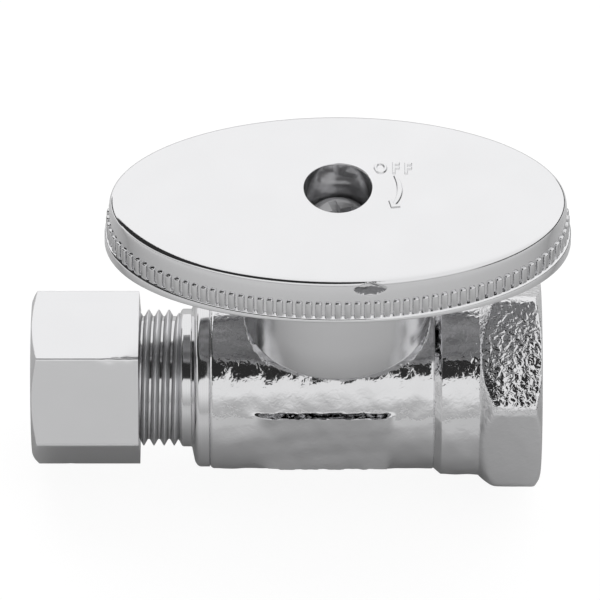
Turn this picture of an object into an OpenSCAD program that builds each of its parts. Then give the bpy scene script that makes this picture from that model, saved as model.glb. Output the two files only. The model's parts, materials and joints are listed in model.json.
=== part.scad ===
// Straight quarter-turn stop valve with an oval handle, in millimetres.
// The origin is the centre of the inlet mouth.
// X leaves the inlet mouth along the waterway, Z rises along the stem to the handle.
// The valve is drawn open, with the outlet nut hand tight.

/* [Inlet] */
// width of the inlet hex across its flats
inlet_flats = 20.6; // [20:0.1:22]
// length of the inlet hex
inlet_hex_length = 6.6; // [5.5:0.1:8]
// diameter of the tapped inlet bore
inlet_bore = 17.1; // [16.4:0.1:17.6]
// depth of the tapped inlet bore
inlet_depth = 10; // [8.5:0.1:10.6]
// length of the round collar behind the hex
collar_length = 3.8; // [2.5:0.1:5]

/* [Body] */
// diameter of the forged barrel
barrel_diameter = 18.95; // [18.3:0.05:19.6]
// length of the forged barrel
barrel_length = 24; // [22.5:0.1:26]
// diameter of the turned shoulder at the outlet end of the barrel
shoulder_diameter = 18.6; // [16:0.1:19]
// length of the turned shoulder
shoulder_length = 1.9; // [1:0.1:3]
// distance from the inlet mouth to the stem axis
stem_distance = 21.2; // [20.9:0.1:21.6]
// width of the blank marking pads on both sides of the barrel
pad_width = 14.9; // [12:0.1:17]
// height of the marking pads
pad_height = 7.7; // [6:0.1:8.4]

/* [Outlet] */
// outside diameter of the supply tube
tube_diameter = 9.525; // [9.2:0.025:9.8]
// outside diameter of the outlet thread
thread_diameter = 14.2; // [14:0.1:14.8]
// pitch of the outlet thread
thread_pitch = 1.0583; // [0.9:0.01:1.2]
// turns from hand tight to a seated sleeve
seating_turns = 1.5; // [1:0.25:1.75]
// length of the threaded outlet spigot
spigot_length = 7.9; // [7.5:0.1:9]
// depth of the tube socket in the spigot
socket_depth = 7.5; // [6:0.1:9]
// width of the compression nut across its flats
nut_flats = 16.5; // [16.3:0.1:18]
// length of the compression nut
nut_length = 11.2; // [10.6:0.1:12.3]
// length of the compression sleeve
sleeve_length = 6; // [5.4:0.1:6.3]

/* [Ball and stem] */
// diameter of the ball
ball_diameter = 12.4; // [12:0.05:12.6]
// diameter of the waterway through the ball, seats and body
waterway = 7; // [6:0.1:7.2]
// diameter of the stem
stem_diameter = 6.4; // [6:0.1:6.6]
// diameter of the stem packing
packing_diameter = 10; // [9.6:0.1:10.2]
// height of one packing ring
packing_height = 1.5; // [1:0.1:1.8]
// height of the gland nut
gland_height = 3; // [2.6:0.1:3.4]

/* [Handle] */
// length of the oval handle
handle_length = 47.9; // [44:0.1:54]
// width of the oval handle
handle_width = 25.4; // [24.4:0.1:28]
// diameter of the round skirt under the oval
skirt_diameter = 19.4; // [19.2:0.1:20.2]
// number of reeds round the rim
reed_count = 116; // [80:1:130]
// height of the reeds
reed_height = 2.2; // [1.5:0.1:3]
// rise of the crowned top above its edge
crown_rise = 1.75; // [1:0.05:3]
// how much lower the rim is at its two ends than at its sides
rim_arch = 1.05; // [0.3:0.05:1.4]
// diameter of the screw well in the middle of the handle
well_diameter = 6.9; // [6.6:0.1:7.4]

/* [Hidden] */
$fn = 96;

// named clearances
running_gap = 0.05;
press_gap = 0.02;
free_gap = 0.3;
thread_gap = 0.08;
cut = 1;

// stations along the waterway
hex_end = -inlet_hex_length;
collar_end = hex_end - collar_length;
ramp_length = 0.7;
barrel_end = collar_end - barrel_length;
shoulder_end = barrel_end - shoulder_length;
shank_length = 1;
shank_end = shoulder_end - shank_length;
spigot_end = shank_end - spigot_length;
stem_x = -stem_distance;

// radii along the waterway
barrel_r = barrel_diameter / 2;
collar_r = inlet_flats / 2 - 0.2;
thread_r = thread_diameter / 2;
tube_r = tube_diameter / 2;
water_r = waterway / 2;
ball_r = ball_diameter / 2;
cavity_r = ball_r + 0.4;
retainer_r = cavity_r + 0.7;
socket_r = tube_r + 0.06;

// seats and their retainer, measured from the stem axis
seat_inner = 3.9;
seat_outer = ball_r + 1.1;
backup_r = 0.45;
cavity_floor = stem_x - seat_outer;
retainer_start = stem_x + seat_outer + press_gap;
retainer_end = -inlet_depth - free_gap;
o_ring_r = 0.5;
o_ring_x = retainer_start + 1;

// compression joint
cone_depth = 1.5;
cone_r = socket_r + 1.08;
cone_slope = (cone_r - socket_r) / cone_depth;
sleeve_in = tube_r + 0.04;
sleeve_out = sleeve_in + 0.8;
sleeve_tip = sleeve_in + 0.15;
sleeve_seated = spigot_end + (cone_r - sleeve_tip - running_gap) / cone_slope;
sleeve_end = sleeve_seated - seating_turns * thread_pitch;
sleeve_start = sleeve_end - sleeve_length;
nut_wall = 1.47;
nut_start = sleeve_start - nut_wall;
nut_end = nut_start + nut_length;
nut_hole = tube_r + 0.15;
nut_taper = 1;
nut_bore = thread_r + thread_gap;
nut_shelf = 2.6;
nut_bore_start = sleeve_start + nut_shelf;

// levels up the stem
stem_r = stem_diameter / 2;
slot_floor = ball_r - 1.7;
slot_width = 3;
tang_gap = 0.1;
flange_r = stem_r + 1.4;
flange_z = cavity_r + 0.15;
flange_height = 1.5;
washer_z = flange_z + flange_height + press_gap;
washer_height = 0.7;
roof_z = washer_z + washer_height + running_gap;
flange_bore = flange_r + 0.2;
packing_floor = roof_z + 1.55;
packing_r = packing_diameter / 2;
upper_z = packing_floor + packing_height;
follower_z = upper_z + packing_height;
follower_height = 0.8;
gland_z = follower_z + follower_height;
neck_top = gland_z + gland_height + 0.2;
neck_r = packing_r + 1.7;
stem_ring_z = gland_z + 0.9;
stem_ring_r = 0.52;
stem_groove = 2 * stem_ring_r - 0.04;
spline_z = neck_top + 0.4;
spline_height = 2.8;
spline_r = stem_r - 0.1;
spline_teeth = 18;
stem_top = spline_z + spline_height;

// handle levels
skirt_r = skirt_diameter / 2;
skirt_wall = 1.7;
skirt_z = barrel_r + 0.425;
skirt_roof = stem_top + 0.6;
hub_r = stem_r + 1.8;
hub_z = neck_top + free_gap;
web_z = stem_top + 0.2;
web_top = web_z + 1;
plate_z = skirt_roof + 0.23;
lip_height = 0.47;
reed_z = plate_z + lip_height;
band_z = reed_z + reed_height;
edge_z = band_z + 2.45;
crown_z = edge_z + crown_rise;
plate_ratio = handle_length / handle_width;
plate_r = handle_width / 2;
edge_r = plate_r - 0.95;
reed_rise = 0.35;
reed_inset = 0.1;
rim_wall = 1.6;
rim_foot = plate_z - rim_arch;
core_roof = plate_z + 2.8;
arch_r = (pow(handle_length / 2, 2) + pow(rim_arch, 2)) / (2 * rim_arch);

// quarter-turn stops between the neck and the skirt
stop_z = skirt_z + 1.2;
stop_height = 3;
ear_half = 12;
rib_half = 10;
stop_slack = 1;
ear_angle = 90;

// handle screw
screw_r = 1.7;
head_r = well_diameter / 2 - 0.1;
lock_z = web_top + press_gap;
lock_height = 0.65;
head_z = lock_z + lock_height + press_gap;
head_height = 2.1;
screw_length = 5.8;
drill_spare = 0.8;

// turns a profile of [radius, x] points about the waterway
module along_x(points) {
    rotate([0, 90, 0])
        rotate_extrude()
            polygon(points);
}

// a round bore along the waterway between two stations
module bore_x(radius, from, to) {
    translate([from, 0, 0])
        rotate([0, 90, 0])
            cylinder(r = radius, h = to - from);
}

// a hex bar along the waterway, with flats facing up and down unless it is turned otherwise
module hex_x(flats, from, to, turned = 30) {
    translate([from, 0, 0])
        rotate([0, 90, 0])
            rotate([0, 0, turned])
                cylinder(r = flats / 2 / cos(30), h = to - from, $fn = 6);
}

// a round ring standing on the stem axis
module ring_z(inner, outer, z, height) {
    translate([stem_x, 0, z])
        difference() {
            cylinder(r = outer, h = height);
            translate([0, 0, -cut])
                cylinder(r = inner, h = height + 2 * cut);
        }
}

// part of a ring on the stem axis, centred on one direction
module sector_z(inner, outer, z, height, middle, half) {
    translate([stem_x, 0, z])
        rotate([0, 0, middle - half])
            rotate_extrude(angle = 2 * half)
                translate([inner, 0])
                    square([outer - inner, height]);
}

// outer form of the body from the spigot to the collar
module body_bar() {
    end_chamfer = 0.6;
    edge_chamfer = 0.5;
    shoulder_r = shoulder_diameter / 2;
    along_x([
        [0, spigot_end],
        [thread_r - end_chamfer, spigot_end],
        [thread_r, spigot_end + end_chamfer],
        [thread_r, shank_end],
        [thread_r + 0.1, shank_end],
        [thread_r + 0.1, shoulder_end],
        [shoulder_r - edge_chamfer, shoulder_end],
        [shoulder_r, shoulder_end + edge_chamfer],
        [shoulder_r, barrel_end],
        [barrel_r, barrel_end],
        [barrel_r, collar_end - ramp_length],
        [collar_r, collar_end],
        [collar_r, -cut],
        [0, -cut]
    ]);
}

// inlet hex with corners up and down, rounded corners and a chamfer at both ends
module inlet_hex() {
    round_r = collar_r + 1.48;
    lead = 1.75;
    mouth = 0.8;
    intersection() {
        hex_x(inlet_flats, hex_end, 0, 0);
        along_x([
            [0, hex_end],
            [collar_r, hex_end],
            [round_r, hex_end + lead],
            [round_r, -mouth],
            [collar_r - 0.1, 0],
            [0, 0]
        ]);
    }
}

// blank marking pads, flush on the front and back of the barrel
module marking_pads() {
    pad_y = barrel_r + 0.02;
    pad_x = stem_x - 1.6;
    corner = 1.2;
    rotate([90, 0, 0])
        translate([pad_x, 0, -pad_y])
            linear_extrude(2 * pad_y) {
                square([pad_width - 2 * corner, pad_height], center = true);
                square([pad_width, pad_height - 2 * corner], center = true);
                for (sx = [-1, 1], sy = [-1, 1]) {
                    translate([sx * (pad_width / 2 - corner), sy * (pad_height / 2 - corner)])
                        circle(r = corner);
                }
            }
}

module valve_body() {
    color("Silver")
        difference() {
            union() {
                body_bar();
                inlet_hex();
                marking_pads();
                translate([stem_x, 0, 0])
                    cylinder(r = neck_r, h = neck_top);
                sector_z(neck_r - 0.3, skirt_r - skirt_wall - free_gap, stop_z, stop_height,
                    ear_angle, ear_half);
            }
            bore_x(inlet_bore / 2, -inlet_depth, cut);
            bore_x(retainer_r + running_gap, stem_x + seat_outer, -inlet_depth + cut);
            bore_x(cavity_r, cavity_floor, stem_x + seat_outer + cut);
            bore_x(water_r, spigot_end, cavity_floor + cut);
            bore_x(socket_r, spigot_end - cut, spigot_end + socket_depth);
            along_x([
                [0, spigot_end - cut],
                [cone_r + cone_slope * cut, spigot_end - cut],
                [socket_r, spigot_end + cone_depth],
                [0, spigot_end + cone_depth]
            ]);
            translate([stem_x, 0, 0])
                cylinder(r = flange_bore, h = roof_z);
            translate([stem_x, 0, 0])
                cylinder(r = stem_r + running_gap, h = neck_top + cut);
            translate([stem_x, 0, packing_floor])
                cylinder(r = packing_r, h = neck_top);
        }
}

// threaded ring that holds the seats and ball, with a hex socket for its key
module seat_retainer() {
    key_flats = 9;
    key_depth = 1.6;
    color("DarkGoldenrod")
        difference() {
            bore_x(retainer_r, retainer_start, retainer_end);
            bore_x(water_r + 0.1, retainer_start - cut, retainer_end + cut);
            hex_x(key_flats, retainer_end - key_depth, retainer_end + cut);
            along_x([
                [retainer_r - 2 * o_ring_r, o_ring_x - 1.2 * o_ring_r],
                [retainer_r + cut, o_ring_x - 1.2 * o_ring_r],
                [retainer_r + cut, o_ring_x + 1.2 * o_ring_r],
                [retainer_r - 2 * o_ring_r, o_ring_x + 1.2 * o_ring_r]
            ]);
        }
}

module retainer_o_ring() {
    color("DimGray")
        translate([o_ring_x, 0, 0])
            rotate([0, 90, 0])
                rotate_extrude()
                    translate([retainer_r - o_ring_r + press_gap, 0])
                        circle(r = o_ring_r);
}

// one seat ring, hollowed to the ball and rebated at its back for a backup ring
module seat(side) {
    rebate_r = cavity_r - 2 * backup_r - 2 * press_gap;
    rebate_z = seat_outer - 2 * backup_r - 2 * press_gap;
    translate([stem_x, 0, 0])
        difference() {
            rotate([0, side * 90, 0])
                translate([0, 0, seat_inner])
                    cylinder(r = cavity_r - press_gap, h = seat_outer - seat_inner - press_gap);
            sphere(r = ball_r + running_gap);
            rotate([0, side * 90, 0])
                cylinder(r = water_r + 0.1, h = seat_outer + cut);
            rotate([0, side * 90, 0])
                translate([0, 0, rebate_z])
                    difference() {
                        cylinder(r = cavity_r + cut, h = seat_outer);
                        translate([0, 0, -cut])
                            cylinder(r = rebate_r, h = seat_outer + 2 * cut);
                    }
        }
}

// rubber ring that presses one seat against the ball
module backup_ring(side) {
    translate([stem_x, 0, 0])
        rotate([0, side * 90, 0])
            translate([0, 0, seat_outer - press_gap - backup_r])
                rotate_extrude()
                    translate([cavity_r - press_gap - backup_r, 0])
                        circle(r = backup_r);
}

module inlet_seat() {
    color("White")
        seat(1);
}

module outlet_seat() {
    color("White")
        seat(-1);
}

module inlet_backup_ring() {
    color("DimGray")
        backup_ring(1);
}

module outlet_backup_ring() {
    color("DimGray")
        backup_ring(-1);
}

// ball with its waterway and the slot that the stem tang turns
module ball() {
    color("Gainsboro")
        translate([stem_x, 0, 0])
            difference() {
                sphere(r = ball_r);
                rotate([0, 90, 0])
                    cylinder(r = water_r, h = 4 * ball_r, center = true);
                translate([-slot_width / 2, -2 * ball_r, slot_floor])
                    cube([slot_width, 4 * ball_r, ball_r]);
            }
}

// outline of the toothed drive, grown by a gap for the hub
function spline_points(gap) = [
    for (tooth = [0 : spline_teeth - 1], p = [[-0.36, -0.35], [-0.16, 0], [0.16, 0], [0.36, -0.35]])
        let (angle = (tooth + p[0]) * 360 / spline_teeth, radius = spline_r + p[1] + gap)
            [radius * cos(angle), radius * sin(angle)]
];

module stem() {
    runout = 0.65;
    ring_half = stem_ring_r + 0.1;
    tang_width = slot_width - 2 * tang_gap;
    tang_half = sqrt(pow(seat_inner - free_gap / 2, 2) - pow(tang_width / 2, 2));
    color("Goldenrod")
        translate([stem_x, 0, 0])
            difference() {
                union() {
                    translate([-tang_width / 2, -tang_half, slot_floor + tang_gap])
                        cube([tang_width, 2 * tang_half, flange_z - slot_floor]);
                    rotate_extrude()
                        polygon([
                            [0, flange_z],
                            [flange_r, flange_z],
                            [flange_r, flange_z + flange_height],
                            [stem_r, flange_z + flange_height],
                            [stem_r, stem_ring_z - ring_half],
                            [stem_r - stem_groove, stem_ring_z - ring_half],
                            [stem_r - stem_groove, stem_ring_z + ring_half],
                            [stem_r, stem_ring_z + ring_half],
                            [stem_r, spline_z - 0.2],
                            [stem_r - runout, spline_z - 0.2],
                            [stem_r - runout, spline_z + 0.2],
                            [0, spline_z + 0.2]
                        ]);
                    translate([0, 0, spline_z])
                        linear_extrude(spline_height)
                            polygon(spline_points(0));
                }
                translate([0, 0, head_z - screw_length - drill_spare])
                    cylinder(r = screw_r + running_gap, h = screw_length + cut);
            }
}

module thrust_washer() {
    color("White")
        ring_z(stem_r + running_gap, flange_r, washer_z, washer_height);
}

module stem_o_ring() {
    color("DimGray")
        translate([stem_x, 0, stem_ring_z])
            rotate_extrude()
                translate([stem_r - stem_groove + stem_ring_r + press_gap, 0])
                    circle(r = stem_ring_r);
}

// one ring of the stem packing
module packing_ring(z) {
    ring_z(stem_r + press_gap, packing_r - press_gap, z + press_gap, packing_height - press_gap);
}

module lower_packing() {
    color("WhiteSmoke")
        packing_ring(packing_floor);
}

module upper_packing() {
    color("WhiteSmoke")
        packing_ring(upper_z);
}

module packing_follower() {
    color("DarkGoldenrod")
        ring_z(stem_r + 0.1, packing_r - running_gap, follower_z + press_gap, follower_height - press_gap);
}

// slotted ring nut that presses the packing
module gland_nut() {
    slot = 1.2;
    slot_depth = 1;
    color("DarkGoldenrod")
        difference() {
            ring_z(stem_r + thread_gap, packing_r - running_gap, gland_z + press_gap,
                gland_height - press_gap);
            translate([stem_x - 2 * packing_r, -slot / 2, gland_z + gland_height - slot_depth])
                cube([4 * packing_r, slot, slot_depth + cut]);
        }
}

// parameter angles that put the reeds at equal distances round the oval rim
function rim_speed(t, a, b) = sqrt(pow(a * sin(t), 2) + pow(b * cos(t), 2)) * PI / 180;
function rim_length(a, b) = PI * (3 * (a + b) - sqrt((3 * a + b) * (a + 3 * b)));
function reed_angles(a, b) = [
    for (
        k = 0, t = 0;
        k < reed_count;
        k = k + 1,
        t = t + rim_length(a, b) / reed_count
            / rim_speed(t + rim_length(a, b) / reed_count / rim_speed(t, a, b) / 2, a, b)
    )
        t
];

// a point on the oval at an angle, moved out along its normal
function rim_point(t, a, b, out) =
    let (n = sqrt(pow(b * cos(t), 2) + pow(a * sin(t), 2)))
        [a * cos(t) + out * b * cos(t) / n, b * sin(t) + out * a * sin(t) / n];

// outline of the reeded rim: one raised pad for each reed
function reed_outline(a, b) = [
    for (t = reed_angles(a, b), p = [[-0.37, 0], [-0.27, 1], [0.27, 1], [0.37, 0]])
        rim_point(t + p[0] * rim_length(a, b) / reed_count / rim_speed(t, a, b), a, b, p[1] * reed_rise)
];

// crowned oval with an upper band, a wall for the reeds and a lower lip that droops to its ends
module handle_plate() {
    band_r = plate_r - 0.3;
    channel_r = plate_r - reed_inset - reed_rise - 0.15;
    crown_steps = 8;
    difference() {
        scale([plate_ratio, 1, 1])
            rotate_extrude()
                polygon(concat(
                    [
                        [0, rim_foot],
                        [plate_r - 0.2, rim_foot],
                        [plate_r - 0.05, rim_foot + 0.15],
                        [plate_r - 0.05, reed_z],
                        [channel_r, reed_z],
                        [channel_r, band_z],
                        [band_r, band_z],
                        [band_r - 0.06, band_z + 0.7],
                        [band_r - 0.14, band_z + 1.4],
                        [band_r - 0.26, band_z + 1.95],
                        [band_r - 0.42, band_z + 2.25]
                    ],
                    [
                        for (i = [0 : crown_steps])
                            let (r = edge_r * (1 - i / crown_steps))
                                [r, edge_z + crown_rise * (1 - pow(r / edge_r, 2))]
                    ]
                ));
        translate([0, plate_r + cut, plate_z - arch_r])
            rotate([90, 0, 0])
                cylinder(r = arch_r, h = 2 * (plate_r + cut), $fn = 360);
    }
}

module handle_blank() {
    reed_a = handle_length / 2 - reed_inset - reed_rise;
    reed_b = plate_r - reed_inset - reed_rise;
    skirt_in = skirt_r - skirt_wall;
    difference() {
        union() {
            handle_plate();
            translate([0, 0, reed_z])
                linear_extrude(reed_height)
                    polygon(reed_outline(reed_a, reed_b));
            translate([0, 0, skirt_z])
                cylinder(r = skirt_r, h = plate_z - skirt_z + lip_height);
        }
        difference() {
            translate([0, 0, rim_foot - cut])
                scale([(handle_length / 2 - rim_wall) / (plate_r - rim_wall), 1, 1])
                    cylinder(r = plate_r - rim_wall, h = core_roof - rim_foot + cut);
            translate([0, 0, rim_foot - 2 * cut])
                cylinder(r = skirt_r, h = core_roof - rim_foot + 4 * cut);
        }
        translate([0, 0, skirt_z - cut])
            cylinder(r = skirt_in, h = skirt_roof - skirt_z + cut);
    }
    translate([0, 0, hub_z])
        cylinder(r = hub_r, h = plate_z - hub_z);
}

module handle() {
    color("Gainsboro")
        difference() {
            union() {
                translate([stem_x, 0, 0])
                    handle_blank();
                stop_rib(ear_angle - ear_half - rib_half - stop_slack);
                stop_rib(ear_angle + 90 + ear_half + rib_half + stop_slack);
            }
            translate([stem_x, 0, hub_z - cut])
                linear_extrude(web_z - hub_z + cut)
                    polygon(spline_points(running_gap));
            translate([stem_x, 0, web_z - cut])
                cylinder(r = screw_r + 0.2, h = web_top - web_z + 2 * cut);
            translate([stem_x, 0, web_top])
                cylinder(r = well_diameter / 2, h = crown_z - web_top + cut);
        }
}

// a rib inside the skirt that meets the ear on the neck
module stop_rib(middle) {
    skirt_in = skirt_r - skirt_wall;
    sector_z(neck_r + free_gap, skirt_in + 0.3, stop_z, stop_height, middle, rib_half);
}

// split spring washer under the screw head
module lock_washer() {
    split = 0.5;
    color("SlateGray")
        difference() {
            ring_z(screw_r + 0.2, head_r - 0.1, lock_z, lock_height);
            translate([stem_x, -split / 2, lock_z - cut])
                cube([2 * head_r, split, lock_height + 2 * cut]);
        }
}

// pan head screw with a cross recess
module handle_screw() {
    arm = 3.8;
    arm_width = 0.9;
    recess = 1.3;
    shank = screw_length - 0.6;
    color("LightSlateGray")
        translate([stem_x, 0, head_z])
            difference() {
                rotate_extrude()
                    polygon([
                        [0, -screw_length],
                        [screw_r - 0.5, -screw_length],
                        [screw_r, -shank],
                        [screw_r, 0],
                        [head_r, 0],
                        [head_r, 0.9],
                        [head_r - 0.35, 1.5],
                        [head_r - 1.1, 1.95],
                        [head_r - 1.9, head_height],
                        [0, head_height]
                    ]);
                translate([-arm / 2, -arm_width / 2, head_height - recess])
                    cube([arm, arm_width, recess + cut]);
                translate([-arm_width / 2, -arm / 2, head_height - recess])
                    cube([arm_width, arm, recess + cut]);
            }
}

// hex nut with a tube hole, an inner taper for the sleeve and a bore for the outlet thread
module compression_nut() {
    corner_r = nut_flats / 2 / cos(30);
    chamfer = 0.5;
    color("Silver")
        difference() {
            intersection() {
                hex_x(nut_flats, nut_start, nut_end);
                along_x([
                    [0, nut_start],
                    [corner_r - 2 * chamfer, nut_start],
                    [corner_r, nut_start + chamfer],
                    [corner_r, nut_end - chamfer],
                    [corner_r - 2 * chamfer, nut_end],
                    [0, nut_end]
                ]);
            }
            bore_x(nut_hole, nut_start - cut, nut_end);
            along_x([
                [0, sleeve_start - 0.12],
                [nut_hole, sleeve_start - 0.12],
                [sleeve_out + 0.25, sleeve_start + nut_taper],
                [sleeve_out + 0.25, nut_end],
                [0, nut_end]
            ]);
            bore_x(nut_bore, nut_bore_start, nut_end + cut);
        }
}

// compression sleeve, tapered at both ends
module compression_sleeve() {
    nose = 1.5;
    tail = 0.9;
    color("Goldenrod")
        along_x([
            [sleeve_in, sleeve_start],
            [sleeve_tip, sleeve_start],
            [sleeve_out, sleeve_start + tail],
            [sleeve_out, sleeve_end - nose],
            [sleeve_tip, sleeve_end],
            [sleeve_in, sleeve_end]
        ]);
}

valve_body();
seat_retainer();
retainer_o_ring();
inlet_seat();
outlet_seat();
inlet_backup_ring();
outlet_backup_ring();
ball();
stem();
thrust_washer();
stem_o_ring();
lower_packing();
upper_packing();
packing_follower();
gland_nut();
handle();
lock_washer();
handle_screw();
compression_nut();
compression_sleeve();
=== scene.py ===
import json
import math
from contextlib import contextmanager

import bmesh
import bpy
import numpy as np
from mathutils import Matrix, Vector


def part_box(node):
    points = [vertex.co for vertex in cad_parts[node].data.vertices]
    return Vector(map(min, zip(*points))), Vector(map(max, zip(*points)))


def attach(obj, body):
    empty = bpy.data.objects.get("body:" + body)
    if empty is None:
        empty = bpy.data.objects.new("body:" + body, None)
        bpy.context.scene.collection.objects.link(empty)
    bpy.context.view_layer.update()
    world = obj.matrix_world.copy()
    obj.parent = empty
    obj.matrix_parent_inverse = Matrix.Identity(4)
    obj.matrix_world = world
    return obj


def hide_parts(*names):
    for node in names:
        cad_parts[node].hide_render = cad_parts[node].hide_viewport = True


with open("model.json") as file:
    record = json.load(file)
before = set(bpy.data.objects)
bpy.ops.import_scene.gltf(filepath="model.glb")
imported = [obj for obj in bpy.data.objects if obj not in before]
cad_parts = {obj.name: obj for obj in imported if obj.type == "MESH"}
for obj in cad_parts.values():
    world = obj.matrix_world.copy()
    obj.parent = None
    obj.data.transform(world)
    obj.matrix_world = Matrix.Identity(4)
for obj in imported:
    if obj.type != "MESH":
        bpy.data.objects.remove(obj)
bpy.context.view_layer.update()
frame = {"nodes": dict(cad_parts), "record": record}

bl_info = {
    "name": "Straight stop valve",
    "version": (1, 0, 0),
    "blender": (4, 5, 0),
    "location": "3D View > Sidebar > Stop Valve",
    "description": "Dresses the frame of a chrome quarter-turn stop valve and lights it",
    "category": "Object",
}

MM = 0.001
RECORD_COLOURS = {m["slot"]: tuple(m["base_color"]) for m in frame["record"]["materials"]}
STEM_X = frame["record"]["behaviour"]["joints"][0]["pos_m"][0] / MM

# Radius that stands for the axis in turned profiles, so that no ring shrinks to a point.
NEAR_AXIS = 0.02
# The turning stop: inner and outer radius, low and high z, middle and half angle of each block.
STOP_EAR = (6.4, 7.7, 11.1, 14.1, 90, 12)
STOP_RIBS = ((7.0, 8.3, 11.1, 14.1, 67, 10), (7.0, 8.3, 11.1, 14.1, 203, 10))
# The forged skin lies right of this x and outside this radius, in millimetres.
SKIN_START, SKIN_RADIUS = -34.2, 8.9
# Extra slots of the handle, in the order in which their finishes are added.
HANDLE_FINISHES = ("thin_plate", "bare_zinc", "well_plate", "skirt_chrome")
UNDERSIDE, KNOCK, WELL, SKIRT = 1, 2, 3, 4
# The crown ends this far inside the lip; the knock lies this far right of the stem.
CROWN_INSET, KNOCK_X = 1.25, 3.25
# Height of the crown above the top of the solid, and z of the lip's underside, in millimetres.
CROWN_LIFT, LIP_Z = 0.1, 21.6
# Knocks on the nut: distance from its outer end, angle in degrees and depth.
NUT_KNOCKS = ((7.4, 120, 0.03), (8.2, 121, 0.05), (9.1, 119.5, 0.03), (10.1, 120, 0.04),
              (3.9, 240, 0.03), (6.7, 0, 0.04), (3.0, 60, 0.03), (8.6, 300, 0.04))
INNER_FINISHES = {
    "turned_brass": ("seat_retainer", "compression_sleeve"),
    "stem_brass": ("stem", "packing_follower", "gland_nut"),
    "seat_plastic": ("inlet_seat", "outlet_seat", "thrust_washer", "lower_packing",
                     "upper_packing"),
    "seal_rubber": ("retainer_o_ring", "stem_o_ring", "inlet_backup_ring", "outlet_backup_ring"),
    "ball_chrome": ("ball",),
    "zinc_steel": ("lock_washer",),
}
WHITE = (1.0, 1.0, 1.0, 1.0)
# Dark cards: direction of the middle, offset to the side, half width, half height and tone.
DARK_CARDS = (((0.0, -0.45, 0.893), 0.35, 0.46, 0.32, 0.03),
              ((-0.65, -0.12, 0.75), 0.0, 0.5, 0.38, 0.03),
              ((-0.85, 0.45, 0.3), 0.0, 0.36, 0.16, 0.08),
              ((0.93, 0.1, 0.12), 0.0, 0.85, 0.17, 0.03))
# Lamps: name, place, size and power.
LAMPS = (("top_softbox", (-0.12, 0.25, 0.55), 0.5, 0.55),
         ("side_softbox", (0.5, -0.1, 0.3), 0.3, 0.16))


def length(name, text, default):
    """A size in metres that a user may change."""
    return bpy.props.FloatProperty(name=name, description=text, default=default, min=0.0,
                                   precision=5, unit="LENGTH", subtype="DISTANCE")


def colour(name, text, slot):
    """A finish colour, as the record gives it."""
    return bpy.props.FloatVectorProperty(name=name, description=text, size=3, min=0.0, max=1.0,
                                         default=RECORD_COLOURS[slot], subtype="COLOR")


class ForgingSizes(bpy.types.PropertyGroup):
    """Sizes of the forged body and its threads."""
    barrel_radius: length("Barrel radius", "Radius of the forged barrel", 0.009475)
    collar_radius: length("Collar radius", "Radius of the collar behind the inlet hex", 0.0101)
    hex_corner: length("Hex corner", "Rounding of the forged hex corners", 0.0015)
    pad_width: length("Pad width", "Width of the blank pad on the barrel", 0.0149)
    pad_height: length("Pad height", "Height of the blank pad on the barrel", 0.0077)
    unevenness: length("Unevenness", "How far the forged skin wanders", 0.00004)
    core_radius: length("Thread core", "Root radius of the outlet thread", 0.00643)
    crest_radius: length("Thread crest", "Crest radius of the outlet thread", 0.0071)
    pitch: length("Outlet pitch", "Pitch of the outlet thread", 0.0010583)
    inlet_pitch: length("Inlet pitch", "Pitch of the inlet thread", 0.0014111)


class HandleSizes(bpy.types.PropertyGroup):
    """Sizes of the oval handle."""
    length: length("Length", "Length over the lip", 0.0479)
    width: length("Width", "Width over the lip", 0.0254)
    crown_rise: length("Crown rise", "Rise of the top above its edge", 0.0017)
    skirt_radius: length("Skirt radius", "Radius of the round skirt", 0.0097)
    well_radius: length("Well radius", "Radius of the screw well", 0.00345)
    reed_width: length("Reed width", "Width of one reed", 0.00071)
    reed_count: bpy.props.IntProperty(name="Reeds", description="Number of reeds round the rim",
                                      default=116, min=20, max=200)
    rim_arch: length("Rim arch", "How much lower the rim is at its ends than at its sides", 0.00105)
    mark_size: length("Mark size", "Height of the raised word", 0.0022)
    mark_rise: length("Mark rise", "Height of the marks above the crown", 0.00016)
    mark_slope: length("Mark slope", "Run of the sloping sides of the marks", 0.00012)


class NutSizes(bpy.types.PropertyGroup):
    """Sizes of the compression nut."""
    flats: length("Across flats", "Width of the nut across its flats", 0.0165)
    corner: length("Corner", "Rounding of the hex corners", 0.0003)
    bore_radius: length("Bore radius", "Radius of the bore for the outlet thread", 0.00718)


class FinishColours(bpy.types.PropertyGroup):
    """Colours of the finishes."""
    body: colour("Forged chrome", "Chrome plate on the forging", "chrome_body")
    handle: colour("Cast chrome", "Chrome plate on the handle", "chrome_handle")
    nut: colour("Nut chrome", "Chrome plate on the nut", "chrome_nut")
    ball: colour("Ball chrome", "Polished chrome of the ball", "chrome_ball")
    brass: colour("Brass", "Bare machined brass", "brass")
    seat: colour("Seat plastic", "White seats and packing", "seat_plastic")
    rubber: colour("Rubber", "Sealing rings", "rubber")
    steel: colour("Steel", "Zinc-plated screw and washer", "steel")


class StageSettings(bpy.types.PropertyGroup):
    """Floor, light and camera."""
    floor_colour: bpy.props.FloatVectorProperty(
        name="Floor", description="Colour of the floor", size=3, min=0.0, max=1.0,
        default=(0.78, 0.78, 0.78), subtype="COLOR")
    elevation: bpy.props.FloatProperty(
        name="Elevation", description="Angle of the camera above level",
        default=math.radians(46.5), subtype="ANGLE", unit="ROTATION")
    distance: length("Distance", "Distance of the camera", 0.82)
    lens: bpy.props.FloatProperty(
        name="Lens", description="Focal length in millimetres", default=470.8, min=1.0)


def soft_min(a, b, blend):
    """The lower of two values with their crossing rounded off."""
    near = np.maximum(blend - np.abs(a - b), 0.0) / blend
    return np.minimum(a, b) - near * near * blend / 4


def soft_max(a, b, blend):
    """The higher of two values with their crossing rounded off."""
    return -soft_min(-a, -b, blend)


def ease(low, high, value):
    """0 below low, 1 above high and a smooth rise between."""
    t = np.clip((value - low) / (high - low), 0.0, 1.0)
    return t * t * (3 - 2 * t)


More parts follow.
